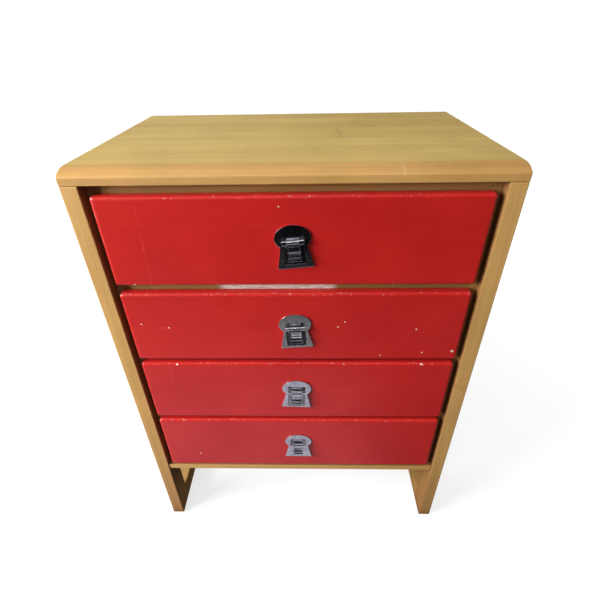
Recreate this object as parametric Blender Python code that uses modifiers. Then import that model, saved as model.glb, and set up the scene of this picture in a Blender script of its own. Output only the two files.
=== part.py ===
"""A four-drawer chest on sled legs, with red drawer fronts and keyhole-shaped drop pulls.

Units are metres, +Z is up and the front looks towards -Y. The origin is on the floor, under the
middle of the whole chest with its pulls. "Setback" below means the distance behind the front faces
of the legs.
"""

import math

import bmesh
import bpy
from mathutils import Matrix, Vector

# Whole chest
WIDTH = 0.760
DEPTH = 0.4905
HEIGHT = 1.018
PULL_PROUD = 0.01133  # how far the pulls stand in front of the legs
FRONT_Y = -(DEPTH + PULL_PROUD) / 2 + PULL_PROUD  # front faces of the legs
GAP = 0.0003  # between pieces that touch

# Top board
TOP_THICKNESS = 0.026
TOP_SLOPE_DEPTH = 0.033  # where the flat top begins to curve down towards the front edge
TOP_SLOPE_RADIUS = 0.055
TOP_NOSE_RADIUS = 0.005
TOP_LOWER_ROUND = 0.0015

# Sled legs: two side frames, each of two legs, a floor runner and an upper rail
LEG_WIDTH = 0.0304
LEG_DEPTH = 0.055
RUNNER_HEIGHT = 0.056
TOE_RADIUS = 0.006
FRAME_EASE = 0.0015

# Case hung between the side frames
CASE_SETBACK = 0.022
SIDE_THICKNESS = 0.0152
BOTTOM_LOW = 0.2205
BOTTOM_THICKNESS = 0.015
BOTTOM_SETBACK = 0.002
BACK_THICKNESS = 0.006
CASE_DEPTH = 0.4535
RAIL_DEPTH = 0.020
TOP_RAIL_HEIGHT = 0.026
RAIL_LAP = 0.005  # how far a divider rail reaches behind the drawer fronts above and below it
CLEAT_WIDTH = 0.020
CLEAT_HEIGHT = 0.0124
BOARD_EASE = 0.0006

# Drawers, top to bottom: lower and upper edge of each front
DRAWER_FRONTS = ((0.8005, 0.974), (0.615, 0.7825), (0.432, 0.6035), (0.2425, 0.4195))
FRONT_HALF_WIDTH = 0.3375
FRONT_SETBACK = 0.0
FRONT_THICKNESS = 0.019
FRONT_ROUND = 0.006
FRONT_CORNER = 0.007
BOX_LENGTH = 0.420
BOX_THICKNESS = 0.012
BOX_SIDE_CLEARANCE = 0.0018
BOX_LOW_CLEARANCE = 0.003
BOX_HIGH_CLEARANCE = 0.008
PANEL_THICKNESS = 0.005
PANEL_RISE = 0.007  # drawer bottom above the lower edge of the drawer sides
GROOVE_DEPTH = 0.005

# Drop pulls, in the pull's own frame: x across, z up, y = 0 on the back of the plate
PULL_RISE = 0.0115  # widest line of the plate above the middle of the drawer front
PULL_TILTS = (-5.6, -4.0, 2.1, 0.6)  # degrees about +Y, top to bottom
PLATE_THICKNESS = 0.002
HEAD_HALF_WIDTH = 0.0326
HEAD_HALF_HEIGHT = 0.0244
NECK_DROP = 0.0165
FOOT_DROP = 0.0594
FOOT_HALF_WIDTH = 0.0336
HINGE_Y = -0.0072
HINGE_Z = -0.006
PIN_RADIUS = 0.0012
PIN_HOLE_RADIUS = 0.00135
LUG_INNER = 0.0114
LUG_WIDTH = 0.0082
LUG_HALF_HEIGHT = 0.0042
LUG_REACH = 0.0036
DIMPLE_RADIUS = 0.0011
DIMPLE_DEPTH = 0.0009

# Bail, in its own frame: origin on the hinge axis, y towards the plate when it hangs straight
BAIL_HALF_WIDTH = 0.0197
BAIL_TOP = -0.0052
BAIL_FOOT = -0.041
BAIL_THICKNESS = 0.0032
BAIL_ROUND = 0.001
BAIL_BEHIND = 0.0035  # middle of the bail's frame behind the hinge axis
BAIL_HANG_ANGLE = 7.6  # degrees at which its weight balances under the hinge
RING_HALF_WIDTH = 0.0143
RING_TOP = -0.0060
RING_FOOT = -0.0362
RING_RAISE = 0.001  # in front of the bail's frame
RING_ROUND = 0.0009
RING_LAP = 0.001  # overlap of the ring and the frame around it
OPENING_HALF_WIDTH = 0.0112
OPENING_TOP = -0.0090
OPENING_FOOT = -0.0252
SLOT_TOP = -0.0286
SLOT_FOOT = -0.0324
KNUCKLE_RADIUS = 0.0038
TONGUE_THICKNESS = 0.0024  # the strip from the knuckle down to the ring
TONGUE_LENGTH = 0.0068
KNUCKLE_HALF_WIDTH = 0.0109


# Tools for every piece


def clear_scene():
    for thing in list(bpy.data.objects):
        bpy.data.objects.remove(thing, do_unlink=True)


def new_collection(name):
    collection = bpy.data.collections.new(name)
    bpy.context.scene.collection.children.link(collection)
    return collection


def material(name, colour, roughness, metallic=0.0):
    surface = bpy.data.materials.new(name)
    surface.use_nodes = True
    shader = surface.node_tree.nodes["Principled BSDF"]
    shader.inputs["Base Color"].default_value = (*colour, 1.0)
    shader.inputs["Roughness"].default_value = roughness
    shader.inputs["Metallic"].default_value = metallic
    surface.diffuse_color = (*colour, 1.0)
    return surface


def empty(name, location, parent=None, rotation=(0, 0, 0)):
    frame = bpy.data.objects.new(name, None)
    frame.location = location
    frame.rotation_euler = rotation
    frame.empty_display_size = 0.02
    frame.parent = parent
    CHEST.objects.link(frame)
    return frame


def add_object(name, shape, location, surface, parent=None, collection=None):
    """An object in the chest from a bmesh, which is freed."""
    mesh = bpy.data.meshes.new(name)
    shape.to_mesh(mesh)
    shape.free()
    mesh.shade_smooth()
    mesh.set_sharp_from_angle(angle=math.radians(35))
    thing = bpy.data.objects.new(name, mesh)
    if surface:
        mesh.materials.append(surface)
    thing.location = location
    thing.parent = parent
    (collection or CHEST).objects.link(thing)
    return thing


def as_cutter(thing):
    thing.hide_render = True
    thing.display_type = "WIRE"
    return thing


def ease(thing, width, segments=1):
    """Softens the sharp edges that are left."""
    bevel = thing.modifiers.new("ease", "BEVEL")
    bevel.width = width
    bevel.segments = segments
    bevel.limit_method = "ANGLE"
    bevel.angle_limit = math.radians(50)


def boolean(thing, other, operation):
    modifier = thing.modifiers.new(other.name, "BOOLEAN")
    modifier.operation = operation
    modifier.object = other
    modifier.solver = "EXACT"


def box_shape(size):
    shape = bmesh.new()
    bmesh.ops.create_cube(shape, size=1.0)
    bmesh.ops.scale(shape, vec=size, verts=shape.verts)
    return shape


def cylinder_shape(radius, length, segments, axis="X"):
    shape = bmesh.new()
    bmesh.ops.create_cone(
        shape, cap_ends=True, segments=segments, radius1=radius, radius2=radius, depth=length
    )
    turn = {"X": Matrix.Rotation(math.pi / 2, 3, "Y"), "Y": Matrix.Rotation(math.pi / 2, 3, "X")}
    bmesh.ops.rotate(shape, cent=(0, 0, 0), matrix=turn[axis], verts=shape.verts)
    return shape


def round_edges(shape, chosen, radius, segments):
    edges = [edge for edge in shape.edges if chosen(edge)]
    bmesh.ops.bevel(
        shape, geom=edges, offset=radius, segments=segments, profile=0.5, affect="EDGES"
    )


def runs_along(axis):
    """Picks the edges that run along an axis: 0, 1 or 2."""
    return lambda edge: abs((edge.verts[1].co - edge.verts[0].co).normalized()[axis]) > 0.999


def lies_at(axis, place):
    """Picks the edges that lie in the plane at this place on an axis."""
    return lambda edge: all(abs(vert.co[axis] - place) < 1e-6 for vert in edge.verts)


def board(name, low, high, surface, parent=None, width=BOARD_EASE, segments=1):
    """A board between two corners given in the chest's frame, with eased edges."""
    low, high = Vector(low), Vector(high)
    middle = (low + high) / 2
    origin = parent.location if parent else Vector()
    thing = add_object(name, box_shape(high - low), middle - origin, surface, parent)
    ease(thing, width, segments)
    return thing


def arc(centre, half_width, half_height, start, end, steps):
    """Points (x, z) along an elliptical arc, from and to these angles in degrees."""
    angles = [math.radians(start + (end - start) * step / steps) for step in range(steps + 1)]
    return [
        (centre[0] + half_width * math.cos(a), centre[1] + half_height * math.sin(a))
        for a in angles
    ]


def rounded_rectangle(left, right, low, high, radius, steps=3):
    corners = (
        (right - radius, low + radius, -90),
        (right - radius, high - radius, 0),
        (left + radius, high - radius, 90),
        (left + radius, low + radius, 180),
    )
    points = []
    for x, z, start in corners:
        points += arc((x, z), radius, radius, start, start + 90, steps)
    return points


def flat_shape(outlines, thickness):
    """A plate around y = 0 from closed outlines of (x, z) points. Inner outlines are holes."""
    curve = bpy.data.curves.new("outline", "CURVE")
    curve.dimensions = "2D"
    curve.fill_mode = "BOTH"
    curve.extrude = thickness / 2
    for points in outlines:
        spline = curve.splines.new("POLY")
        spline.points.add(len(points) - 1)
        for point, (x, z) in zip(spline.points, points):
            point.co = (x, z, 0.0, 1.0)
        spline.use_cyclic_u = True
    holder = bpy.data.objects.new("outline", curve)
    bpy.context.scene.collection.objects.link(holder)
    graph = bpy.context.evaluated_depsgraph_get()
    mesh = bpy.data.meshes.new_from_object(holder.evaluated_get(graph))
    bpy.data.objects.remove(holder)
    shape = bmesh.new()
    shape.from_mesh(mesh)
    bpy.data.meshes.remove(mesh)
    bmesh.ops.remove_doubles(shape, verts=shape.verts, dist=1e-6)
    bmesh.ops.dissolve_limit(
        shape, angle_limit=math.radians(1), verts=shape.verts, edges=shape.edges
    )
    stand_up = Matrix.Rotation(math.pi / 2, 3, "X")
    bmesh.ops.rotate(shape, cent=(0, 0, 0), matrix=stand_up, verts=shape.verts)
    bmesh.ops.recalc_face_normals(shape, faces=shape.faces)
    return shape


def at(setback):
    """The y of a plane this far behind the front faces of the legs."""
    return FRONT_Y + setback


# Side frames and top


UNDER_TOP = HEIGHT - TOP_THICKNESS
LEG_INNER = WIDTH / 2 - LEG_WIDTH
SIDES = (("left", -1), ("right", 1))


def across(side, inner, outer):
    """Lower and upper x of a piece between two distances from the middle, on one side."""
    return sorted((side * inner, side * outer))


def top_section():
    """The top board from its side: (distance behind the front, height above the underside)."""
    reach = (TOP_SLOPE_DEPTH - TOP_NOSE_RADIUS) / (TOP_SLOPE_RADIUS - TOP_NOSE_RADIUS)
    slope = math.asin(reach)
    slope_centre = (TOP_SLOPE_DEPTH, TOP_THICKNESS - TOP_SLOPE_RADIUS)
    nose_height = slope_centre[1] + (TOP_SLOPE_RADIUS - TOP_NOSE_RADIUS) * math.cos(slope)
    turn = 90 + math.degrees(slope)
    lower, nose = TOP_LOWER_ROUND, TOP_NOSE_RADIUS
    points = arc((lower, lower), lower, lower, 270, 180, 3)
    points += arc((nose, nose_height), nose, nose, 180, turn, 5)
    points += arc(slope_centre, TOP_SLOPE_RADIUS, TOP_SLOPE_RADIUS, turn, 90, 9)[1:]
    return points + [(DEPTH, TOP_THICKNESS), (DEPTH, 0)]


def make_top():
    shape = flat_shape([top_section()], WIDTH)
    bmesh.ops.rotate(
        shape, cent=(0, 0, 0), matrix=Matrix.Rotation(math.pi / 2, 3, "Z"), verts=shape.verts
    )
    top = add_object("top_board", shape, (0, FRONT_Y, UNDER_TOP), WOOD)
    ease(top, 0.0012, 2)


def make_leg(name, side, front):
    """A leg whose toe, the lower outer corner, is rounded."""
    size = Vector((LEG_WIDTH, LEG_DEPTH, UNDER_TOP - GAP))
    shape = box_shape(size)
    face = lies_at(1, (-1 if front else 1) * LEG_DEPTH / 2)
    foot = lies_at(2, -size.z / 2)
    round_edges(shape, lambda edge: face(edge) and foot(edge), TOE_RADIUS, 5)
    middle = LEG_DEPTH / 2 if front else DEPTH - LEG_DEPTH / 2
    place = (side * (WIDTH - LEG_WIDTH) / 2, at(middle), size.z / 2)
    ease(add_object(name, shape, place, WOOD), FRAME_EASE, 2)


def make_side_frame(word, side):
    make_leg(f"{word}_front_leg", side, True)
    make_leg(f"{word}_rear_leg", side, False)
    left, right = across(side, LEG_INNER, WIDTH / 2)
    front, back = at(LEG_DEPTH + GAP), at(DEPTH - LEG_DEPTH - GAP)
    levels = {
        "floor_runner": (0, RUNNER_HEIGHT),
        "upper_side_rail": (UNDER_TOP - RUNNER_HEIGHT, UNDER_TOP - GAP),
    }
    for piece, (low, high) in levels.items():
        board(
            f"{word}_{piece}",
            (left, front, low),
            (right, back, high),
            WOOD,
            width=FRAME_EASE,
            segments=2,
        )


# Case


CASE_OUTER = LEG_INNER - GAP
CASE_INNER = CASE_OUTER - SIDE_THICKNESS
BOTTOM_HIGH = BOTTOM_LOW + BOTTOM_THICKNESS
CASE_BACK = CASE_SETBACK + CASE_DEPTH


def make_case_shell():
    for word, side in SIDES:
        left, right = across(side, CASE_INNER, CASE_OUTER)
        low = (left, at(CASE_SETBACK), BOTTOM_HIGH + GAP)
        high = (right, at(CASE_BACK), UNDER_TOP - GAP)
        board(f"{word}_case_side", low, high, WOOD)
    behind = CASE_BACK + GAP
    board(
        "case_bottom",
        (-CASE_OUTER, at(BOTTOM_SETBACK), BOTTOM_LOW),
        (CASE_OUTER, at(behind + BACK_THICKNESS), BOTTOM_HIGH),
        WOOD,
        width=0.0012,
        segments=2,
    )
    board(
        "back_panel",
        (-CASE_OUTER, at(behind), BOTTOM_HIGH + GAP),
        (CASE_OUTER, at(behind + BACK_THICKNESS), UNDER_TOP - GAP),
        PLYWOOD,
    )


def cross_rail(name, setback, low, high):
    half = CASE_INNER - GAP
    start = (-half, at(setback), low)
    end = (half, at(setback + RAIL_DEPTH), high)
    board(name, start, end, WOOD, width=0.001, segments=2)


def divider_levels():
    """Lower and upper edge of the divider rail under each drawer but the last."""
    pairs = zip(DRAWER_FRONTS, DRAWER_FRONTS[1:])
    return [(below[1] - RAIL_LAP, above[0] + RAIL_LAP) for above, below in pairs]


def make_rails():
    low, high = UNDER_TOP - TOP_RAIL_HEIGHT, UNDER_TOP - GAP
    cross_rail("top_front_rail", CASE_SETBACK, low, high)
    cross_rail("top_back_rail", CASE_BACK - RAIL_DEPTH - GAP, low, high)
    for number, (low, high) in enumerate(divider_levels(), start=1):
        cross_rail(f"divider_rail_{number}", CASE_SETBACK, low, high)


def drawer_box_levels():
    """Lower and upper edge of each drawer's box, between the rails below and above it."""
    dividers = divider_levels()
    ceilings = [UNDER_TOP - TOP_RAIL_HEIGHT] + [low for low, high in dividers]
    floors = [high + BOX_LOW_CLEARANCE for low, high in dividers]
    floors.append(BOTTOM_HIGH + CLEAT_HEIGHT + 2 * GAP)
    return [(floor, ceiling - BOX_HIGH_CLEARANCE) for floor, ceiling in zip(floors, ceilings)]


def make_cleats(number, box_low):
    """The two runners that carry a drawer, fixed to the case sides."""
    for word, side in SIDES:
        left, right = across(side, CASE_INNER - GAP - CLEAT_WIDTH, CASE_INNER - GAP)
        front = at(CASE_SETBACK + RAIL_DEPTH + GAP)
        board(
            f"drawer_{number}_{word}_cleat",
            (left, front, box_low - GAP - CLEAT_HEIGHT),
            (right, front + BOX_LENGTH - RAIL_DEPTH, box_low - GAP),
            PALE_WOOD,
        )


# Drawers


def make_drawer_front(number, low, high, parent):
    size = Vector((2 * FRONT_HALF_WIDTH, FRONT_THICKNESS, high - low))
    shape = box_shape(size)
    round_edges(shape, runs_along(1), FRONT_CORNER, 4)
    round_edges(shape, lies_at(1, -FRONT_THICKNESS / 2), FRONT_ROUND, 4)
    place = (0, FRONT_THICKNESS / 2, 0)
    front = add_object(f"drawer_{number}_front", shape, place, RED, parent)
    ease(front, BOARD_EASE)


def cut_groove(thing, word, side, number, box_low, parent):
    """A groove for the drawer's bottom, along the inner face of a drawer side."""
    left, right = across(side, BOX_INNER - 0.002, BOX_INNER + GROOVE_DEPTH + GAP)
    low = box_low + PANEL_RISE - GAP
    high = low + PANEL_THICKNESS + 2 * GAP
    size = Vector((right - left, BOX_LENGTH + 0.02, high - low))
    middle = Vector(((left + right) / 2, at(BOX_FRONT + BOX_LENGTH / 2), (low + high) / 2))
    place = middle - parent.location
    name = f"drawer_{number}_{word}_groove"
    cutter = add_object(name, box_shape(size), place, None, parent, CUTTERS)
    boolean(thing, as_cutter(cutter), "DIFFERENCE")


BOX_OUTER = CASE_INNER - BOX_SIDE_CLEARANCE
BOX_INNER = BOX_OUTER - BOX_THICKNESS
BOX_FRONT = FRONT_SETBACK + FRONT_THICKNESS + GAP
BOX_BACK = BOX_FRONT + BOX_LENGTH


def make_drawer_box(number, low, high, parent):
    for word, side in SIDES:
        left, right = across(side, BOX_INNER, BOX_OUTER)
        start, end = (left, at(BOX_FRONT), low), (right, at(BOX_BACK), high)
        name = f"drawer_{number}_{word}_side"
        piece = board(name, start, end, PALE_WOOD, parent, width=0.0015, segments=2)
        cut_groove(piece, word, side, number, low, parent)
    panel_low = low + PANEL_RISE
    panel_high = panel_low + PANEL_THICKNESS
    board(
        f"drawer_{number}_bottom",
        (-BOX_INNER - GROOVE_DEPTH, at(BOX_FRONT), panel_low),
        (BOX_INNER + GROOVE_DEPTH, at(BOX_BACK), panel_high),
        PLYWOOD,
        parent,
        width=0.0003,
    )
    board(
        f"drawer_{number}_back",
        (-BOX_INNER + GAP, at(BOX_BACK - BOX_THICKNESS), panel_high + GAP),
        (BOX_INNER - GAP, at(BOX_BACK), high - 0.003),
        PALE_WOOD,
        parent,
        width=0.0015,
        segments=2,
    )


# Pulls


def keyhole_outline():
    """The plate's outline: an elliptical head over a foot that flares out below the neck."""
    neck = math.degrees(math.asin(NECK_DROP / HEAD_HALF_HEIGHT))
    head = arc((0, 0), HEAD_HALF_WIDTH, HEAD_HALF_HEIGHT, -neck, 180 + neck, 30)
    return head + [(-FOOT_HALF_WIDTH, -FOOT_DROP), (FOOT_HALF_WIDTH, -FOOT_DROP)]


def lug_shape():
    """A block with rounded front edges, lying along x, from inside the plate to the hinge."""
    back = -PLATE_THICKNESS / 2
    front = HINGE_Y - LUG_REACH
    shape = box_shape((LUG_WIDTH, back - front, 2 * LUG_HALF_HEIGHT))
    at_front = lies_at(1, -(back - front) / 2)
    round_edges(shape, lambda edge: at_front(edge) and runs_along(0)(edge), 0.0018, 3)
    bmesh.ops.translate(shape, vec=(0, (back + front) / 2, HINGE_Z), verts=shape.verts)
    return shape


def make_plate(number, frame):
    """The keyhole plate with two lugs that hold the hinge pin, each with a dimple in front."""
    name = f"pull_{number}_plate"
    outline = flat_shape([keyhole_outline()], PLATE_THICKNESS)
    bmesh.ops.translate(outline, vec=(0, -PLATE_THICKNESS / 2, 0), verts=outline.verts)
    plate = add_object(name, outline, (0, 0, 0), CHROME, frame)
    ease(plate, 0.0006, 2)
    lug_middle = LUG_INNER + LUG_WIDTH / 2
    for word, side in SIDES:
        place = (side * lug_middle, 0, 0)
        lug = add_object(f"{name}_{word}_lug", lug_shape(), place, None, frame, CUTTERS)
        boolean(plate, as_cutter(lug), "UNION")
    for word, side in SIDES:
        dimple = cylinder_shape(DIMPLE_RADIUS, 2 * DIMPLE_DEPTH, 10, "Y")
        place = (side * lug_middle, HINGE_Y - LUG_REACH, HINGE_Z)
        cutter = add_object(f"{name}_{word}_dimple", dimple, place, None, frame, CUTTERS)
        boolean(plate, as_cutter(cutter), "DIFFERENCE")
    drill_pin_hole(plate, frame, (0, HINGE_Y, HINGE_Z))


def drill_pin_hole(thing, parent, place):
    hole = cylinder_shape(PIN_HOLE_RADIUS, 2 * (LUG_INNER + LUG_WIDTH) + 0.004, 14)
    cutter = add_object(f"{thing.name}_pin_hole", hole, place, None, parent, CUTTERS)
    boolean(thing, as_cutter(cutter), "DIFFERENCE")


def make_pin(number, frame):
    """The hinge pin, long enough to show at the outer ends of the lugs."""
    length = 2 * (LUG_INNER + LUG_WIDTH) + 0.0012
    shape = cylinder_shape(PIN_RADIUS, length, 14)
    place = (0, HINGE_Y, HINGE_Z)
    ease(add_object(f"pull_{number}_pin", shape, place, CHROME, frame), 0.0003)


def bail_frame_shape():
    """The flat frame of the bail, with a hole for the ring that is raised inside it."""
    outer = rounded_rectangle(-BAIL_HALF_WIDTH, BAIL_HALF_WIDTH, BAIL_FOOT, BAIL_TOP, 0.002)
    half_hole = RING_HALF_WIDTH - RING_LAP
    hole = rounded_rectangle(
        -half_hole, half_hole, RING_FOOT + RING_LAP, RING_TOP - RING_LAP, 0.001, 2
    )
    shape = flat_shape([outer, hole], BAIL_THICKNESS)
    bmesh.ops.translate(shape, vec=(0, BAIL_BEHIND, 0), verts=shape.verts)
    return shape


def bail_ring_shape():
    """The raised ring, with a finger opening and a slot above its lower bar."""
    half = OPENING_HALF_WIDTH
    outer = rounded_rectangle(-RING_HALF_WIDTH, RING_HALF_WIDTH, RING_FOOT, RING_TOP, 0.0016)
    opening = rounded_rectangle(-half, half, OPENING_FOOT, OPENING_TOP, 0.0012, 2)
    slot = rounded_rectangle(-half, half, SLOT_FOOT, SLOT_TOP, 0.001, 2)
    thickness = BAIL_THICKNESS + RING_RAISE - GAP
    shape = flat_shape([outer, opening, slot], thickness)
    back = BAIL_BEHIND + BAIL_THICKNESS / 2 - GAP
    bmesh.ops.translate(shape, vec=(0, back - thickness / 2, 0), verts=shape.verts)
    return shape


def make_bail(number, frame):
    """The bail, which hangs from the pin with its weight under the hinge."""
    name = f"pull_{number}_bail"
    place = (0, HINGE_Y, HINGE_Z)
    lean = (-math.radians(BAIL_HANG_ANGLE), 0, 0)
    hinge = empty(f"pull_{number}_hinge", place, frame, lean)
    bail = add_object(name, bail_frame_shape(), (0, 0, 0), CHROME, hinge)
    ease(bail, BAIL_ROUND, 2)
    ring = add_object(f"{name}_ring", bail_ring_shape(), (0, 0, 0), None, hinge, CUTTERS)
    ease(ring, RING_ROUND, 2)
    boolean(bail, as_cutter(ring), "UNION")
    knuckle = cylinder_shape(KNUCKLE_RADIUS, 2 * KNUCKLE_HALF_WIDTH, 28)
    cutter = add_object(f"{name}_knuckle", knuckle, (0, 0, 0), None, hinge, CUTTERS)
    boolean(bail, as_cutter(cutter), "UNION")
    tongue = box_shape((2 * KNUCKLE_HALF_WIDTH - 0.001, TONGUE_THICKNESS, TONGUE_LENGTH))
    place = (0, BAIL_BEHIND - TONGUE_THICKNESS / 2, -TONGUE_LENGTH / 2 - GAP)
    cutter = add_object(f"{name}_tongue", tongue, place, None, hinge, CUTTERS)
    boolean(bail, as_cutter(cutter), "UNION")
    drill_pin_hole(bail, hinge, (0, 0, 0))


def make_pull(number, drawer):
    tilt = (0, math.radians(PULL_TILTS[number - 1]), 0)
    frame = empty(f"pull_{number}", (0, -GAP, PULL_RISE), drawer, tilt)
    make_plate(number, frame)
    make_pin(number, frame)
    make_bail(number, frame)


def make_drawers():
    for number, levels in enumerate(zip(DRAWER_FRONTS, drawer_box_levels()), start=1):
        (low, high), (box_low, box_high) = levels
        place = Vector((0, at(FRONT_SETBACK), (low + high) / 2))
        drawer = empty(f"drawer_{number}", place)
        make_drawer_front(number, low, high, drawer)
        make_drawer_box(number, box_low, box_high, drawer)
        make_pull(number, drawer)
        make_cleats(number, box_low)


clear_scene()
CHEST = new_collection("four_drawer_chest")
CUTTERS = new_collection("cutters")
WOOD = material("lacquered_beech", (0.56, 0.36, 0.14), 0.35)
PALE_WOOD = material("drawer_beech", (0.62, 0.46, 0.27), 0.6)
PLYWOOD = material("plywood", (0.60, 0.44, 0.26), 0.7)
RED = material("red_lacquer", (0.56, 0.03, 0.03), 0.3)
CHROME = material("chrome", (0.72, 0.73, 0.75), 0.12, 1.0)

make_top()
for side_word, side_sign in SIDES:
    make_side_frame(side_word, side_sign)
make_case_shell()
make_rails()
make_drawers()
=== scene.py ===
import math

import bmesh
import bpy
from mathutils import Matrix, Vector


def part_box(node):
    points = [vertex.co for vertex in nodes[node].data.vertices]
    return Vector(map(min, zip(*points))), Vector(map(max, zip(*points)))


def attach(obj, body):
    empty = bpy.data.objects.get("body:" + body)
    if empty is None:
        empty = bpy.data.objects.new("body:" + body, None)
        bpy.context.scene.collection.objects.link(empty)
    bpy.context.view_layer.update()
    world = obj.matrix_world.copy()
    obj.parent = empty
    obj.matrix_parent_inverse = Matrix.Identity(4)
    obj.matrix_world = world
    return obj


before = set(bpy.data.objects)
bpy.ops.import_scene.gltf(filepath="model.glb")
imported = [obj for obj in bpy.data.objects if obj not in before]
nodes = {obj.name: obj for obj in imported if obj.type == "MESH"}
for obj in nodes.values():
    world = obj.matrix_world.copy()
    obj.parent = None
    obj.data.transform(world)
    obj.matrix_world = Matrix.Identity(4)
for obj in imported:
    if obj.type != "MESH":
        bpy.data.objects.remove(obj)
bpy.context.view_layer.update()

# Everything is in metres
FRONT_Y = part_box("left_front_leg")[0].y  # the front faces of the legs
DRAWERS = (1, 2, 3, 4)

# Camera: where it stands relative to the legs' front faces, and how it is turned in degrees
CAMERA_RIGHT = 0.0298
CAMERA_IN_FRONT = 0.640
CAMERA_HEIGHT = 1.199
CAMERA_PITCH = 33.94  # below level
CAMERA_YAW = 1.68
CAMERA_ROLL = -1.12
CAMERA_LENS = 24.15
SENSOR = 36.0

# Edges sharper than this stay crisp
FRAME_CREASE = math.radians(32)
FASTENER_CREASE = math.radians(40)

# The small bevel on the metal's edges
METAL_BEVEL = 0.00045
METAL_BEVEL_STEPS = 2
METAL_BEVEL_ANGLE = math.radians(40)


# Node helpers


class Tree:
    """Adds nodes to a material's tree, each fed with values or other nodes' outputs."""

    def __init__(self, tree):
        self.tree = tree

    def node(self, kind, inputs=None, **settings):
        made = self.tree.nodes.new(kind)
        for key, value in settings.items():
            setattr(made, key, value)
        for key, value in (inputs or {}).items():
            self.feed(made.inputs[key], value)
        return made

    def feed(self, socket, value):
        if isinstance(value, bpy.types.NodeSocket):
            self.tree.links.new(value, socket)
        elif isinstance(value, (int, float)) and socket.type in ("RGBA", "VECTOR"):
            socket.default_value = [value] * len(socket.default_value)
        else:
            socket.default_value = value

    def math(self, operation, *values, clamp=False):
        inputs = dict(enumerate(values))
        return self.node("ShaderNodeMath", inputs, operation=operation, use_clamp=clamp).outputs[0]

    def vector(self, operation, *values, result="Vector"):
        inputs = dict(enumerate(values))
        return self.node("ShaderNodeVectorMath", inputs, operation=operation).outputs[result]

    def place(self):
        """A point's place in the chest's frame."""
        return self.node("ShaderNodeTexCoord").outputs["Object"]

    def axes(self, place):
        return self.node("ShaderNodeSeparateXYZ", {0: place}).outputs

    def noise(self, place, scale=1.0, detail=2.0, roughness=0.5, distortion=0.0):
        """Noise from about 0.3 to 0.7, with scale cells to the metre."""
        inputs = {
            "Vector": place,
            "Scale": scale,
            "Detail": detail,
            "Roughness": roughness,
            "Distortion": distortion,
        }
        return self.node("ShaderNodeTexNoise", inputs).outputs["Fac"]

    def ramp(self, factor, *stops):
        """A value or a colour that changes with factor: stops are (factor, value or colour)."""
        made = self.node("ShaderNodeValToRGB", {"Fac": factor})
        elements = made.color_ramp.elements
        while len(elements) < len(stops):
            elements.new(0.5)
        for element, (where, value) in zip(elements, stops):
            element.position = where
            colour = value if isinstance(value, tuple) else (value,) * 3
            element.color = (*colour, 1.0)
        return made.outputs["Color"]

    def mix(self, factor, first, second, blend="MIX"):
        made = self.node("ShaderNodeMix", data_type="RGBA", blend_type=blend)
        self.feed(made.inputs["Factor"], factor)
        for name, value in (("A", first), ("B", second)):
            socket = [s for s in made.inputs if s.name == name and s.type == "RGBA"][0]
            self.feed(socket, (*value, 1.0) if isinstance(value, tuple) else value)
        return [s for s in made.outputs if s.type == "RGBA"][0]

    def shade(self, colour, amount):
        """A colour multiplied by an amount."""
        return self.mix(1.0, colour, amount, "MULTIPLY")

    def bump(self, height, strength, depth):
        inputs = {"Height": height, "Strength": strength, "Distance": depth}
        return self.node("ShaderNodeBump", inputs).outputs[0]


def new_material(name):
    """(material, its tree, its shader)"""
    made = bpy.data.materials.new(name)
    made.use_nodes = True
    return made, Tree(made.node_tree), made.node_tree.nodes["Principled BSDF"]


def give_surface(tree, shader, colour, rough, height, strength, depth):
    """Feeds a shader its colour, its roughness and its bump."""
    tree.feed(shader.inputs["Base Color"], colour)
    tree.feed(shader.inputs["Roughness"], rough)
    tree.feed(shader.inputs["Normal"], tree.bump(height, strength, depth))


def srgb(red, green, blue):
    """A linear colour from 0-255 display values."""

    def linear(value):
        value /= 255
        return value / 12.92 if value <= 0.04045 else ((value + 0.055) / 1.055) ** 2.4

    return linear(red), linear(green), linear(blue)


def darker(colour, factor):
    return tuple(channel * factor for channel in colour)


# Colours
WOOD_LIGHT = srgb(212, 166, 100)
WOOD_DARK = srgb(194, 146, 82)
WOOD_GRIME = tuple(c * k for c, k in zip(WOOD_DARK, (0.72, 0.66, 0.5)))
# Painted shade in the gaps between parts
GAP_SHADE = srgb(84, 30, 10)
# Painted shade on the legs: near the floor, and on the right legs' inner faces
LOW_SHADE = srgb(128, 76, 44)
INNER_FACE_SHADE = srgb(92, 52, 26)
# Painted shade: the runners are the legs' wood, darkened as if shaded under the case
SHADED_RUNNER_LIGHT = darker(WOOD_LIGHT, 0.64)
SHADED_RUNNER_DARK = darker(WOOD_DARK, 0.64)
# The top's flat part: the wood with a painted sheen, duller and greener
SHEENED_TOP_LIGHT = srgb(220, 188, 112)
SHEENED_TOP_DARK = srgb(203, 170, 97)
SCUFF_COLOUR = srgb(226, 196, 146)
TOP_MARK_COLOUR = srgb(112, 88, 48)
# Painted highlight along the first divider rail
RAIL_HIGHLIGHT_COLOUR = srgb(255, 240, 232)
RED_LIGHT = (0.60, 0.020, 0.016)
RED_DARK = (0.50, 0.012, 0.011)
RED_DOT = srgb(92, 14, 14)
RED_RUB = srgb(236, 120, 110)
CHIP_COLOUR = srgb(242, 212, 192)
CHROME_LOW = (0.50, 0.52, 0.56)
CHROME_HIGH = (0.76, 0.76, 0.79)
CHROME_SPECK = (0.20, 0.19, 0.18)
STEEL_LOW = (0.30, 0.29, 0.28)
STEEL_HIGH = (0.52, 0.51, 0.50)
DRAWER_LIGHT = srgb(214, 186, 146)
DRAWER_DARK = srgb(198, 166, 122)
PLYWOOD_LIGHT = srgb(202, 172, 130)
PLYWOOD_DARK = srgb(184, 150, 106)
DUST = srgb(150, 128, 98)

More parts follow.
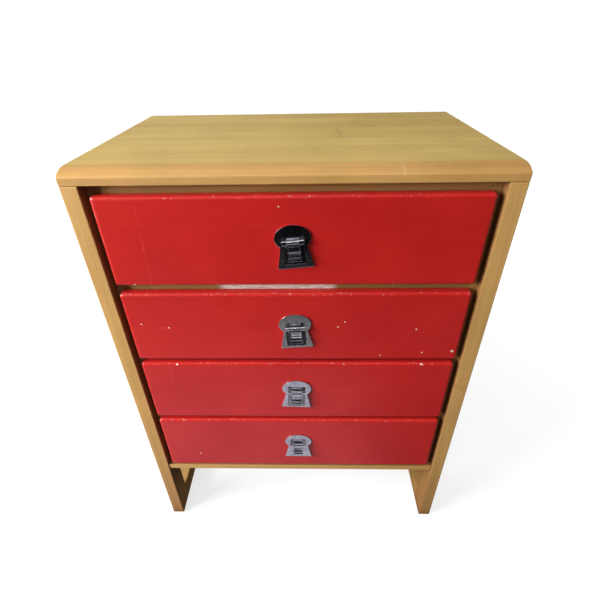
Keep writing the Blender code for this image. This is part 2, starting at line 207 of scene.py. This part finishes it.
# Marks. Their places are (x, distance behind the legs' front faces, height)
SLOPE_DEPTH = 0.033  # of the top board's rounded front
SLOPE_OVERLAP = 0.001  # how far the flat part's painted sheen reaches onto the slope
SLOPE_BLEND = 0.002
SCUFF_WIDTH = 0.0042
SCUFF = (
    (0.134, 0.080, 1.018),
    (0.152, 0.071, 1.018),
    (0.170, 0.058, 1.018),
    (0.178, 0.036, 1.018),
    (0.181, 0.014, 1.015),
    (0.180, 0.001, 1.006),
)
TOP_MARKS = (  # start, end, width
    ((-0.315, 0.142, 1.018), (-0.235, 0.140, 1.018), 0.0030),
    ((-0.205, 0.106, 1.018), (-0.190, 0.104, 1.018), 0.0040),
    ((-0.085, 0.110, 1.018), (-0.075, 0.106, 1.018), 0.0040),
    ((-0.120, 0.190, 1.018), (-0.095, 0.188, 1.018), 0.0030),
    ((0.090, 0.300, 1.018), (0.094, 0.215, 1.018), 0.0060),
    ((0.215, 0.028, 1.018), (0.222, 0.024, 1.017), 0.0020),
)
# The painted highlight along the first divider rail: its width and its ends
RAIL_HIGHLIGHT_WIDTH = 0.030
RAIL_HIGHLIGHT = ((-0.125, 0.022, 0.7865), (0.060, 0.022, 0.7860))
RUB_WIDTH = 0.0016
RUBS = (
    ((-0.264, 0, 0.974), (-0.267, 0, 0.803)),
    ((-0.272, 0, 0.597), (-0.283, 0, 0.516)),
    ((-0.262, 0, 0.7015), (-0.275, 0, 0.7000)),
)
CHIPS = (  # x, height and radius, on the drawer fronts
    (-0.022, 0.955, 0.0012),
    (-0.256, 0.701, 0.0018),
    (-0.310, 0.710, 0.0013),
    (0.100, 0.715, 0.0012),
    (0.086, 0.703, 0.0013),
    (0.243, 0.697, 0.0015),
    (0.325, 0.639, 0.0028),
    (0.177, 0.628, 0.0014),
    (0.263, 0.635, 0.0015),
    (-0.258, 0.6005, 0.0026),
    (0.267, 0.6015, 0.0026),
    (-0.254, 0.290, 0.0018),
    (-0.300, 0.803, 0.0020),
    (-0.145, 0.802, 0.0018),
    (0.120, 0.801, 0.0020),
    (0.155, 0.244, 0.0022),
)
EDGE_WEAR_RADIUS = 0.004
EDGE_WEAR_SAMPLES = 4
GAP_SHADE_REACH = 0.03  # painted shade gathers where something stands nearer than this
GAP_SHADE_SAMPLES = 8

# Painted shade lies within a reach of one x: the right legs' inner faces and the first
# millimetre of their fronts
INNER_SHADE_X = 0.350
INNER_SHADE_REACH = 0.0006
INNER_SHADE_AMOUNT = 0.55


# Masks: 1 on a mark, 0 off it


def behind_legs(x, depth, height):
    """A place from its distance behind the front faces of the legs."""
    return (x, FRONT_Y + depth, height)


def spot(tree, place, centre, radius):
    """A small uneven round patch."""
    wobble = tree.noise(place, 420.0, 2.0, 0.6)
    reach = tree.math("MULTIPLY_ADD", wobble, radius * 1.4, radius * 0.4)
    distance = tree.vector("DISTANCE", place, centre, result="Value")
    return tree.math("LESS_THAN", distance, reach)


def stroke(tree, place, start, end, width):
    """A stroke between two places, which fades away from its middle."""
    start, run = Vector(start), Vector(end) - Vector(start)
    offset = tree.vector("SUBTRACT", place, start)
    along = tree.vector("DOT_PRODUCT", offset, run / run.length_squared, result="Value")
    along = tree.math("MULTIPLY", along, 1.0, clamp=True)
    scaled = tree.node("ShaderNodeVectorMath", {0: run, "Scale": along}, operation="SCALE")
    distance = tree.vector("DISTANCE", offset, scaled.outputs[0], result="Value")
    fade = tree.math("DIVIDE", distance, width)
    return tree.math("SUBTRACT", 1.0, fade, clamp=True)


def together(tree, masks):
    total = masks[0]
    for mask in masks[1:]:
        total = tree.math("MAXIMUM", total, mask)
    return total


def broken(tree, place, mask, scale, amount):
    """Breaks a mask up with noise."""
    gaps = tree.ramp(tree.noise(place, scale, 3.0, 0.6), (0.40, 0.15), (0.60, 1.0))
    return tree.math("MULTIPLY", tree.math("MULTIPLY", mask, gaps), amount)


# Wood. A grain is the number of the axis that the fibres run along.


def stretched(tree, place, grain, along, across):
    """Coordinates that run slowly along the grain axis and fast across it."""
    scale = [across] * 3
    scale[grain] = along
    return tree.vector("MULTIPLY", place, tuple(scale))


def wood_figure(tree, place, grain, light, dark):
    """(colour, fibre) of straight-grained pale wood."""
    drift = tree.noise(stretched(tree, place, grain, 0.9, 9.0), 1.0, 3.0, 0.5, 0.6)
    bands = tree.noise(stretched(tree, place, grain, 1.6, 70.0), 1.0, 5.0, 0.62, 0.5)
    lines = tree.noise(stretched(tree, place, grain, 3.0, 420.0), 1.0, 3.0, 0.6, 0.2)
    fibre = tree.noise(stretched(tree, place, grain, 22.0, 1700.0), 1.0, 2.0, 0.6)
    flecks = tree.noise(stretched(tree, place, grain, 130.0, 1250.0), 1.0, 1.0, 0.5)
    colour = tree.mix(tree.ramp(drift, (0.34, 0.0), (0.66, 1.0)), light, dark)
    colour = tree.shade(colour, tree.ramp(bands, (0.30, 0.90), (0.70, 1.08)))
    colour = tree.shade(colour, tree.ramp(lines, (0.34, 0.93), (0.62, 1.03)))
    colour = tree.shade(colour, tree.ramp(fibre, (0.25, 0.93), (0.75, 1.05)))
    return tree.mix(tree.ramp(flecks, (0.68, 0.0), (0.76, 0.4)), colour, darker(dark, 0.5)), fibre


def stained(tree, place, colour):
    """Handling marks: slow cloudy darkening and a few yellowed patches; and painted shade in the
    gaps.
    """
    cloud = tree.noise(place, 5.5, 4.0, 0.6)
    colour = tree.shade(colour, tree.ramp(cloud, (0.30, 0.90), (0.62, 1.03)))
    patch = tree.noise(place, 13.0, 3.0, 0.6, 0.8)
    colour = tree.mix(tree.ramp(patch, (0.64, 0.0), (0.80, 0.4)), colour, WOOD_GRIME)
    return shade_in_gaps(tree, colour)


def shade_in_gaps(tree, colour):
    """Painted shade: darker brown wherever something stands near, as in the gaps."""
    near = tree.node("ShaderNodeAmbientOcclusion", {"Distance": GAP_SHADE_REACH}, samples=GAP_SHADE_SAMPLES)
    gap_shade = tree.ramp(near.outputs["AO"], (0.30, 0.52), (0.90, 0.0))
    return tree.mix(gap_shade, colour, GAP_SHADE)


def shaded_leg(tree, place, colour):
    """Painted shade: darker brown near the floor, and darker on the right legs' inner faces."""
    axes = tree.axes(place)
    low = tree.ramp(axes["Z"], (0.0, 0.62), (0.035, 0.30), (0.30, 0.0))
    colour = tree.mix(low, colour, LOW_SHADE)
    inner_face = tree.math("COMPARE", axes["X"], INNER_SHADE_X, INNER_SHADE_REACH)
    return tree.mix(tree.math("MULTIPLY", inner_face, INNER_SHADE_AMOUNT), colour, INNER_FACE_SHADE)


def lacquered_wood(name, grain, light, dark, shading=None):
    made, tree, shader = new_material(name)
    place = tree.place()
    colour, fibre = wood_figure(tree, place, grain, light, dark)
    colour = stained(tree, place, colour)
    # The legs get painted shade near the floor and on their inner faces
    if shading:
        colour = shading(tree, place, colour)
    rough = tree.ramp(tree.noise(place, 9.0, 3.0, 0.6), (0.3, 0.38), (0.7, 0.52))
    shader.inputs["Specular IOR Level"].default_value = 0.4
    give_surface(tree, shader, colour, rough, fibre, 0.22, 0.0002)
    return made


def top_wood(name):
    """The top board: a painted sheen makes its flat part duller and greener than its rounded
    front; with scuffs and scratches.
    """
    made, tree, shader = new_material(name)
    place = tree.place()
    slope, fibre = wood_figure(tree, place, 0, WOOD_LIGHT, WOOD_DARK)
    sheened_flat, _ = wood_figure(tree, place, 0, SHEENED_TOP_LIGHT, SHEENED_TOP_DARK)
    edge = FRONT_Y + SLOPE_DEPTH - SLOPE_OVERLAP
    behind = tree.math("SUBTRACT", tree.axes(place)["Y"], edge)
    inside = tree.math("DIVIDE", behind, SLOPE_BLEND, clamp=True)
    colour = stained(tree, place, tree.mix(inside, slope, sheened_flat))
    arc = [behind_legs(*point) for point in SCUFF]
    scuff = together(tree, [stroke(tree, place, *ends, SCUFF_WIDTH) for ends in zip(arc, arc[1:])])
    scuff = broken(tree, place, scuff, 260.0, 0.62)
    colour = tree.mix(scuff, colour, SCUFF_COLOUR)
    marks = [stroke(tree, place, behind_legs(*a), behind_legs(*b), w) for a, b, w in TOP_MARKS]
    marks = broken(tree, place, together(tree, marks), 160.0, 0.5)
    colour = tree.mix(marks, colour, TOP_MARK_COLOUR)
    rough = tree.ramp(tree.noise(place, 11.0, 4.0, 0.6), (0.3, 0.36), (0.7, 0.50))
    rough = tree.math("MULTIPLY_ADD", scuff, 0.2, rough)
    height = tree.math("SUBTRACT", fibre, tree.math("MULTIPLY", marks, 2.0))
    shader.inputs["Specular IOR Level"].default_value = 0.42
    give_surface(tree, shader, colour, rough, height, 0.22, 0.0002)
    return made


def rail_wood(name):
    """The divider rails: the first has a painted highlight, a pale streak, along its front; all
    have painted shade in their gaps.
    """
    made, tree, shader = new_material(name)
    place = tree.place()
    colour, fibre = wood_figure(tree, place, 0, WOOD_LIGHT, WOOD_DARK)
    ends = [behind_legs(*point) for point in RAIL_HIGHLIGHT]
    highlight = tree.ramp(stroke(tree, place, *ends, RAIL_HIGHLIGHT_WIDTH), (0.15, 0.0), (0.7, 1.0))
    ragged = tree.noise(stretched(tree, place, 0, 40.0, 160.0), 1.0, 4.0, 0.7)
    highlight = tree.math("MULTIPLY", highlight, tree.ramp(ragged, (0.36, 0.4), (0.52, 1.0)))
    colour = tree.mix(highlight, shade_in_gaps(tree, colour), RAIL_HIGHLIGHT_COLOUR)
    give_surface(tree, shader, colour, 0.5, fibre, 0.3, 0.0002)
    return made


def bare_wood(name, grain, light, dark):
    """Planed, unfinished wood of the drawer boxes and the back."""
    made, tree, shader = new_material(name)
    place = tree.place()
    colour, fibre = wood_figure(tree, place, grain, light, dark)
    dust = tree.noise(place, 8.0, 4.0, 0.6)
    colour = tree.mix(tree.ramp(dust, (0.45, 0.0), (0.8, 0.35)), colour, DUST)
    rough = tree.ramp(fibre, (0.3, 0.55), (0.7, 0.7))
    give_surface(tree, shader, colour, rough, fibre, 0.35, 0.0003)
    return made


# Lacquer and metal


def chipped_edges(tree, place):
    """A mask of small chips along the crisp edges."""
    inputs = {"Radius": EDGE_WEAR_RADIUS}
    rounded = tree.node("ShaderNodeBevel", inputs, samples=EDGE_WEAR_SAMPLES).outputs[0]
    normal = tree.node("ShaderNodeNewGeometry").outputs["Normal"]
    turn = tree.vector("DISTANCE", rounded, normal, result="Value")
    flakes = tree.ramp(tree.noise(place, 150.0, 2.0, 0.7), (0.62, 0.0), (0.66, 0.8))
    return tree.math("MULTIPLY", tree.ramp(turn, (0.10, 0.0), (0.35, 1.0)), flakes)


def red_lacquer(name):
    """Brushed red lacquer, a little uneven, with pale chips, dark dots and rubbed lines."""
    made, tree, shader = new_material(name)
    place = tree.place()
    cloud = tree.noise(place, 7.0, 4.0, 0.55)
    colour = tree.mix(tree.ramp(cloud, (0.3, 0.0), (0.7, 1.0)), RED_LIGHT, RED_DARK)
    brushed = tree.noise(stretched(tree, place, 0, 5.0, 260.0), 1.0, 3.0, 0.6)
    colour = tree.shade(colour, tree.ramp(brushed, (0.3, 0.95), (0.7, 1.03)))
    dots = tree.noise(place, 210.0, 1.0, 0.4)
    colour = tree.mix(tree.ramp(dots, (0.79, 0.0), (0.82, 0.6)), colour, RED_DOT)
    rubs = [stroke(tree, place, behind_legs(*a), behind_legs(*b), RUB_WIDTH) for a, b in RUBS]
    colour = tree.mix(broken(tree, place, together(tree, rubs), 60.0, 0.22), colour, RED_RUB)
    chips = together(tree, [spot(tree, place, behind_legs(x, 0, z), r) for x, z, r in CHIPS])
    chips = tree.math("MAXIMUM", chips, chipped_edges(tree, place))
    colour = tree.mix(chips, colour, CHIP_COLOUR)
    rough = tree.math("MULTIPLY_ADD", chips, 0.4, tree.ramp(cloud, (0.3, 0.26), (0.7, 0.36)))
    peel = tree.noise(place, 190.0, 2.0, 0.5)
    height = tree.math("SUBTRACT", peel, tree.math("MULTIPLY", chips, 1.5))
    shader.inputs["Specular IOR Level"].default_value = 0.5
    give_surface(tree, shader, colour, rough, height, 0.14, 0.0004)
    return made


def chrome(name):
    """Old chrome plate: bright, with smudges, fine rubbing and a few dull specks."""
    made, tree, shader = new_material(name)
    place = tree.place()
    smudge = tree.noise(place, 75.0, 4.0, 0.62)
    film = tree.noise(place, 190.0, 3.0, 0.6)
    specks = tree.noise(place, 620.0, 2.0, 0.6)
    rubbing = tree.noise(stretched(tree, place, 0, 160.0, 1600.0), 1.0, 3.0, 0.6)
    tone = tree.ramp(smudge, (0.36, CHROME_LOW), (0.64, CHROME_HIGH))
    tone = tree.shade(tone, tree.ramp(film, (0.36, 0.80), (0.60, 1.08)))
    tone = tree.mix(tree.ramp(specks, (0.66, 0.0), (0.72, 0.6)), tone, CHROME_SPECK)
    rough = tree.ramp(smudge, (0.35, 0.05), (0.7, 0.15))
    rough = tree.math("MULTIPLY_ADD", rubbing, 0.08, rough)
    height = tree.math("MULTIPLY_ADD", rubbing, 0.4, smudge)
    shader.inputs["Metallic"].default_value = 1.0
    give_surface(tree, shader, tone, rough, height, 0.10, 0.0003)
    return made


def dull_steel(name):
    """Grey spotted steel of the screws and nails."""
    made, tree, shader = new_material(name)
    spots = tree.noise(tree.place(), 380.0, 3.0, 0.6)
    tone = tree.ramp(spots, (0.40, STEEL_LOW), (0.66, STEEL_HIGH))
    rough = tree.ramp(spots, (0.35, 0.55), (0.7, 0.36))
    shader.inputs["Metallic"].default_value = 1.0
    give_surface(tree, shader, tone, rough, spots, 0.2, 0.0002)
    return made


# The CAD nodes' materials: what makes each one, its name, and what it is made with
RECIPES = (
    (lacquered_wood, "lacquered_wood_x", 0, WOOD_LIGHT, WOOD_DARK),
    (lacquered_wood, "lacquered_wood_y", 1, WOOD_LIGHT, WOOD_DARK),
    (lacquered_wood, "lacquered_wood_z", 2, WOOD_LIGHT, WOOD_DARK),
    (lacquered_wood, "lacquered_wood_runner", 1, SHADED_RUNNER_LIGHT, SHADED_RUNNER_DARK),
    (lacquered_wood, "lacquered_wood_leg", 2, WOOD_LIGHT, WOOD_DARK, shaded_leg),
    (top_wood, "lacquered_wood_top"),
    (rail_wood, "lacquered_wood_rail"),
    (red_lacquer, "red_lacquer"),
    (chrome, "chrome"),
    (bare_wood, "drawer_wood_x", 0, DRAWER_LIGHT, DRAWER_DARK),
    (bare_wood, "drawer_wood_y", 1, DRAWER_LIGHT, DRAWER_DARK),
    (bare_wood, "plywood", 2, PLYWOOD_LIGHT, PLYWOOD_DARK),
)

# The first row whose start and end fit a node's name gives its material
FINISHES = (
    ("top_board", "", "lacquered_wood_top"),
    ("divider_rail", "", "lacquered_wood_rail"),
    ("drawer_", "_front", "red_lacquer"),
    ("pull_", "", "chrome"),
    ("back_panel", "", "plywood"),
    ("drawer_", "_bottom", "plywood"),
    ("drawer_", "_back", "drawer_wood_x"),
    ("drawer_", "", "drawer_wood_y"),
    ("", "_leg", "lacquered_wood_leg"),
    ("", "_case_side", "lacquered_wood_z"),
    ("", "_runner", "lacquered_wood_runner"),
    ("", "_side_rail", "lacquered_wood_y"),
    ("", "", "lacquered_wood_x"),
)


def soften(thing):
    """Rounds the crisp edges of the metal a little so that they catch the light."""
    bevel = thing.modifiers.new("soften", "BEVEL")
    bevel.width = METAL_BEVEL
    bevel.segments = METAL_BEVEL_STEPS
    bevel.limit_method = "ANGLE"
    bevel.angle_limit = METAL_BEVEL_ANGLE


def finish_of(node):
    """The name of the material that a CAD node takes."""
    for start, end, finish in FINISHES:
        if node.startswith(start) and node.endswith(end):
            return finish


def dress_frame():
    """Gives every CAD node its material, and softens the pulls."""
    made = {name: make(name, *rest) for make, name, *rest in RECIPES}
    for name, thing in nodes.items():
        mesh = thing.data
        mesh.materials.clear()
        mesh.materials.append(made[finish_of(name)])
        mesh.shade_smooth()
        mesh.set_sharp_from_angle(angle=FRAME_CREASE)
        if name.endswith(("_plate", "_bail")):
            soften(thing)


# Fasteners that the open drawers and the back show
RIM_SHARE = 0.25  # of a head's height, below its dome
CROSS_HALF_WIDTH = 0.16  # of the screw's radius
CROSS_HALF_LENGTH = 0.6  # of the screw's radius
CROSS_START = 0.5  # of the screw's height: only points above it are pressed in
CROSS_DEPTH = 0.45  # of the screw's height
SCREW_RADIUS = 0.0045
SCREW_HEIGHT = 0.0022
SCREW_SPACING = 0.038
SCREW_STEPS = 6
SCREW_SIDES = 24
NAIL_RADIUS = 0.0028
NAIL_HEIGHT = 0.0009
NAIL_STEPS = 3
NAIL_SIDES = 12
NAIL_INSET = 0.009
NAIL_GAPS_ACROSS = 6
NAIL_GAPS_UP = 7


def dome(shape, place, radius, height, steps, sides):
    """Adds a low round head to a mesh, standing on place and rising toward +Y."""
    rings = []
    for step in range(steps):
        turn = math.pi / 2 * step / steps
        reach = radius * math.cos(turn)
        rise = height * (RIM_SHARE + (1 - RIM_SHARE) * math.sin(turn))
        angles = [math.tau * side / sides for side in range(sides)]
        around = [(reach * math.cos(angle), rise, reach * math.sin(angle)) for angle in angles]
        rings.append([shape.verts.new(Vector(place) + Vector(point)) for point in around])
    foot = [shape.verts.new((vert.co.x, place[1], vert.co.z)) for vert in rings[0]]
    rings.insert(0, foot)
    for low, high in zip(rings, rings[1:]):
        for i in range(sides):
            j = (i + 1) % sides
            shape.faces.new((low[i], low[j], high[j], high[i]))
    shape.faces.new(rings[-1])
    shape.faces.new(foot)
    bmesh.ops.recalc_face_normals(shape, faces=shape.faces)


def cut_cross(shape, place):
    """Cuts a cross recess in a screw head by pressing its nearest points inward."""
    for vert in shape.verts:
        offset = vert.co - Vector(place)
        narrow = min(abs(offset.x), abs(offset.z)) < SCREW_RADIUS * CROSS_HALF_WIDTH
        central = Vector((offset.x, 0, offset.z)).length < SCREW_RADIUS * CROSS_HALF_LENGTH
        if narrow and central and offset.y > SCREW_HEIGHT * CROSS_START:
            vert.co.y -= SCREW_HEIGHT * CROSS_DEPTH


def add_fastener(name, shape, metal, body):
    """Turns a mesh under construction into a metal piece that rides on a body."""
    mesh = bpy.data.meshes.new(name)
    shape.to_mesh(mesh)
    shape.free()
    mesh.materials.append(metal)
    mesh.shade_smooth()
    mesh.set_sharp_from_angle(angle=FASTENER_CREASE)
    thing = bpy.data.objects.new(name, mesh)
    bpy.context.scene.collection.objects.link(thing)
    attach(thing, body)


def make_pull_screws(metal):
    """Two screws behind each drawer front, which hold its pull."""
    for number in DRAWERS:
        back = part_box(f"drawer_{number}_front")[1].y
        low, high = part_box(f"pull_{number}_plate")
        middle = (low + high) / 2
        shape = bmesh.new()
        for side in (-1, 1):
            place = (middle.x, back, middle.z + side * SCREW_SPACING / 2)
            dome(shape, place, SCREW_RADIUS, SCREW_HEIGHT, SCREW_STEPS, SCREW_SIDES)
            cut_cross(shape, place)
        add_fastener(f"pull_{number}_screws", shape, metal, f"drawer_{number}")


def spread(start, end, gaps):
    """Evenly spaced numbers from start to end, one more than there are gaps."""
    return [round(start + (end - start) * step / gaps, 5) for step in range(gaps + 1)]


def make_back_nails(metal):
    """Flat nail heads round the edge of the back panel."""
    low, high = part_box("back_panel")
    across = spread(low.x + NAIL_INSET, high.x - NAIL_INSET, NAIL_GAPS_ACROSS)
    up = spread(low.z + NAIL_INSET, high.z - NAIL_INSET, NAIL_GAPS_UP)
    shape = bmesh.new()
    for x in across:
        for z in up:
            if x in (across[0], across[-1]) or z in (up[0], up[-1]):
                dome(shape, (x, high.y, z), NAIL_RADIUS, NAIL_HEIGHT, NAIL_STEPS, NAIL_SIDES)
    add_fastener("back_panel_nails", shape, metal, "case")


def make_fasteners():
    metal = dull_steel("dull_steel")
    make_pull_screws(metal)
    make_back_nails(metal)


# Room: square lights, as name, place, target, side, power and whether reflections show them.
# The last two would be mirrored in the lacquered top.
LIGHTS = (
    ("key", (-3.2, -1.50, 1.95), (0, -0.2, 0.6), 1.8, 288, True),
    ("high_fill", (-0.2, -1.5, 3.2), (0, 0, 0.6), 1.8, 9, True),
    ("right_fill", (2.9, 1.1, 1.2), (0.3, 0, 0.5), 1.6, 50, False),
    ("back_fill", (-0.9, 3.0, 1.3), (0, 0.2, 0.55), 1.8, 58, False),
)

# Glowing cards that only reflections show, for the chrome to mirror
UPRIGHT = (math.pi / 2, 0, 0)
SIDEWAYS = (math.pi / 2, 0, math.pi / 2)
FLAG_X = 0.22
FLAG_AHEAD = 0.70  # distance in front of the legs
FLAG_WIDTH = 1.10
FLAGS = (  # name, foot, top, glow
    ("high_flag", 0.50, 1.35, (0.004, 0.004, 0.005)),
    ("middle_flag", 0.27, 0.50, (0.028, 0.026, 0.028)),
    ("low_flag", 0.20, 0.27, (0.17, 0.16, 0.16)),
    ("floor_flag", 0.06, 0.20, (0.25, 0.24, 0.24)),
)
SIDE_CARD_AHEAD = 0.55
SIDE_CARD_MIDDLE = 0.85
SIDE_CARD_SIZE = (1.3, 0.9)
SIDE_CARDS = (  # name, x, glow
    ("left_card", -1.5, (2.0, 2.0, 2.0)),
    ("right_card", 1.5, (0.55, 0.55, 0.58)),
)
CARPET_LIFT = 0.003
CARPET_WIDTH = 2.4
CARPET_GRADE = ((0.0, 1.3), (0.50, 1.0), (0.56, 0.85), (0.66, 0.22))  # from left to right
CARPETS = (  # name, nearest and furthest distance in front of the legs, glow
    ("near_carpet", 0.02, 0.62, (0.54, 0.51, 0.59)),
    ("far_carpet", 0.62, 1.50, (0.26, 0.25, 0.26)),
)
MATT = 0.8

FLOOR_SIZE = 60
FLOOR_DROP = 0.0005
FLOOR_COLOUR = (0.30, 0.30, 0.295)
FLOOR_FADE = 4.0
FLOOR_GRADE = ((0.0, 0.72), (0.25, 0.75), (0.8, 0.95))  # share of FLOOR_FADE from the middle, glow

SKY_STRENGTH = 0.42
SKY = (  # height from 0, straight down, to 1, straight up; colour
    (0.30, (0.16, 0.12, 0.09)),
    (0.50, (0.16, 0.16, 0.12)),
    (0.62, (0.50, 0.54, 0.46)),
    (0.80, (0.85, 0.88, 0.90)),
    (1.00, (1.00, 1.00, 1.00)),
)
SKY_GRADE = ((0.0, 1.0), (0.45, 0.75), (1.0, 0.30))  # from left to right


def plane(name, width, height, place, rotation=(0, 0, 0)):
    """A flat rectangle that is part of the room."""
    mesh = bpy.data.meshes.new(name)
    shape = bmesh.new()
    bmesh.ops.create_grid(shape, x_segments=1, y_segments=1, size=0.5)
    bmesh.ops.scale(shape, vec=(width, height, 1), verts=shape.verts)
    shape.to_mesh(mesh)
    shape.free()
    thing = bpy.data.objects.new(name, mesh)
    bpy.context.scene.collection.objects.link(thing)
    thing.location = place
    thing.rotation_euler = rotation
    return thing


def matt_glow(name, base, glow):
    """(material, its tree, its shader) of a matt surface with an even glow."""
    made, tree, shader = new_material(name)
    shader.inputs["Base Color"].default_value = (*base, 1.0)
    shader.inputs["Roughness"].default_value = MATT
    shader.inputs["Specular IOR Level"].default_value = 0.0
    shader.inputs["Emission Color"].default_value = (*glow, 1.0)
    shader.inputs["Emission Strength"].default_value = 1.0
    return made, tree, shader


def make_floor():
    """A pale floor that glows a little, the more the further away, so it meets the white sky."""
    floor = plane("floor", FLOOR_SIZE, FLOOR_SIZE, (0, 0, -FLOOR_DROP))
    made, tree, shader = matt_glow("pale_floor", FLOOR_COLOUR, (1.0, 1.0, 1.0))
    away = tree.vector("LENGTH", tree.place(), result="Value")
    far = tree.math("DIVIDE", away, FLOOR_FADE, clamp=True)
    tree.feed(shader.inputs["Emission Strength"], tree.ramp(far, *FLOOR_GRADE))
    floor.data.materials.append(made)
    floor.visible_diffuse = False
    floor.visible_glossy = False


def make_card(name, width, height, place, rotation, glow):
    """A glowing card that only reflections show. Returns its material's tree and shader."""
    card = plane(name, width, height, place, rotation)
    made, tree, shader = matt_glow(name, (0, 0, 0), glow)
    card.data.materials.append(made)
    card.visible_camera = False
    card.visible_diffuse = False
    card.visible_shadow = False
    card.visible_transmission = False
    return tree, shader


def make_cards():
    """Flags and side cards that stand round the chest's front, and carpets on the floor."""
    for name, foot, top, glow in FLAGS:
        place = (FLAG_X, FRONT_Y - FLAG_AHEAD, (foot + top) / 2)
        make_card(name, FLAG_WIDTH, top - foot, place, UPRIGHT, glow)
    for name, x, glow in SIDE_CARDS:
        place = (x, FRONT_Y - SIDE_CARD_AHEAD, SIDE_CARD_MIDDLE)
        make_card(name, *SIDE_CARD_SIZE, place, SIDEWAYS, glow)
    for name, near, far, glow in CARPETS:
        place = (0, FRONT_Y - (near + far) / 2, CARPET_LIFT)
        tree, shader = make_card(name, CARPET_WIDTH, far - near, place, (0, 0, 0), glow)
        across = tree.math("MULTIPLY_ADD", tree.axes(tree.place())["X"], 1 / CARPET_WIDTH, 0.5)
        tree.feed(shader.inputs["Emission Strength"], tree.ramp(across, *CARPET_GRADE))


def make_lights():
    """Soft square lights, each aimed at its target."""
    for name, place, target, side, power, mirrored in LIGHTS:
        data = bpy.data.lights.new(name, "AREA")
        data.shape = "SQUARE"
        data.size = side
        data.energy = power
        light = bpy.data.objects.new(name, data)
        bpy.context.scene.collection.objects.link(light)
        light.location = place
        aim = Vector(target) - Vector(place)
        light.rotation_euler = aim.to_track_quat("-Z", "Y").to_euler()
        light.visible_glossy = mirrored


def make_world():
    """White to the camera, but for lighting a soft sky over a dim surrounding."""
    world = bpy.data.worlds.new("studio")
    bpy.context.scene.world = world
    world.use_nodes = True
    tree = Tree(world.node_tree)
    background = world.node_tree.nodes["Background"]
    output = world.node_tree.nodes["World Output"]
    axes = tree.axes(tree.node("ShaderNodeTexCoord").outputs["Generated"])
    height = tree.math("MULTIPLY_ADD", axes["Z"], 0.5, 0.5)
    side = tree.math("MULTIPLY_ADD", axes["X"], 0.5, 0.5)
    sky = tree.shade(tree.ramp(height, *SKY), tree.ramp(side, *SKY_GRADE))
    tree.feed(background.inputs["Color"], sky)
    background.inputs["Strength"].default_value = SKY_STRENGTH
    seen = tree.node("ShaderNodeBackground", {"Color": (1, 1, 1, 1), "Strength": 1.0})
    camera_ray = tree.node("ShaderNodeLightPath").outputs["Is Camera Ray"]
    inputs = {0: camera_ray, 1: background.outputs[0], 2: seen.outputs[0]}
    tree.feed(output.inputs["Surface"], tree.node("ShaderNodeMixShader", inputs).outputs[0])


def make_camera():
    data = bpy.data.cameras.new("camera")
    data.lens = CAMERA_LENS
    data.sensor_width = SENSOR
    camera = bpy.data.objects.new("camera", data)
    bpy.context.scene.collection.objects.link(camera)
    camera.location = (CAMERA_RIGHT, FRONT_Y - CAMERA_IN_FRONT, CAMERA_HEIGHT)
    turn = Matrix.Rotation(math.radians(CAMERA_YAW), 4, "Z")
    turn @= Matrix.Rotation(math.radians(90 - CAMERA_PITCH), 4, "X")
    turn @= Matrix.Rotation(math.radians(CAMERA_ROLL), 4, "Z")
    camera.rotation_euler = turn.to_euler()
    bpy.context.scene.camera = camera


def make_room():
    make_floor()
    make_cards()
    make_world()
    make_lights()
    bpy.context.scene.view_settings.view_transform = "Standard"


make_camera()
make_room()
dress_frame()
make_fasteners()
